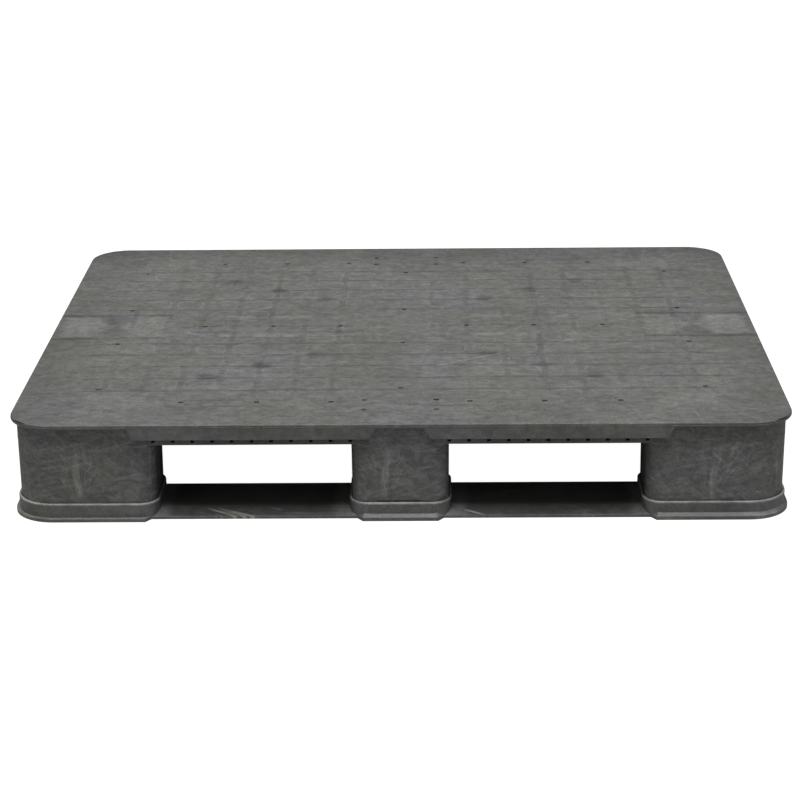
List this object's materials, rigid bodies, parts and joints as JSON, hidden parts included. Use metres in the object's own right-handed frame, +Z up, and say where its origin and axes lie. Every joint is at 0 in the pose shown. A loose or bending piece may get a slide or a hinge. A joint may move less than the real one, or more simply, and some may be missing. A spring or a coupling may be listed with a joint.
{
  "type": "plastic pallet",
  "caption": "Closed-deck plastic pallet on leg blocks and full-length runners, open to forks from every side, in mottled dark grey plastic.",
  "frame": {"origin": "on the floor under the middle of the pallet", "axes": "+X along the 1200 mm side, +Y along the 1000 mm side towards the rear row of legs, +Z up"},
  "size_m": [1.2, 1, 0.158],
  "materials": {
    "deck_plastic": "moulded plastic, matte and faintly mottled",
    "tray_plastic": "moulded plastic, matte and faintly mottled",
    "leg_plastic": "moulded plastic, matte and faintly mottled",
    "runner_plastic": "moulded plastic, matte and faintly mottled",
    "zinc_steel": "zinc plated"
  },
  "bodies": {
    "root": {"top_deck": "deck_plastic", "underside_tray": "tray_plastic", "leg_front_left": "leg_plastic", "leg_front_centre": "leg_plastic", "leg_front_right": "leg_plastic", "leg_middle_left": "leg_plastic", "leg_middle_centre": "leg_plastic", "leg_middle_right": "leg_plastic", "leg_rear_left": "leg_plastic", "leg_rear_centre": "leg_plastic", "leg_rear_right": "leg_plastic", "runner_front": "runner_plastic", "runner_middle": "runner_plastic", "runner_rear": "runner_plastic", "runner_screws_front": "zinc_steel", "runner_screws_middle": "zinc_steel", "runner_screws_rear": "zinc_steel", "tray_screws": "zinc_steel"}
  },
  "joints": []
}
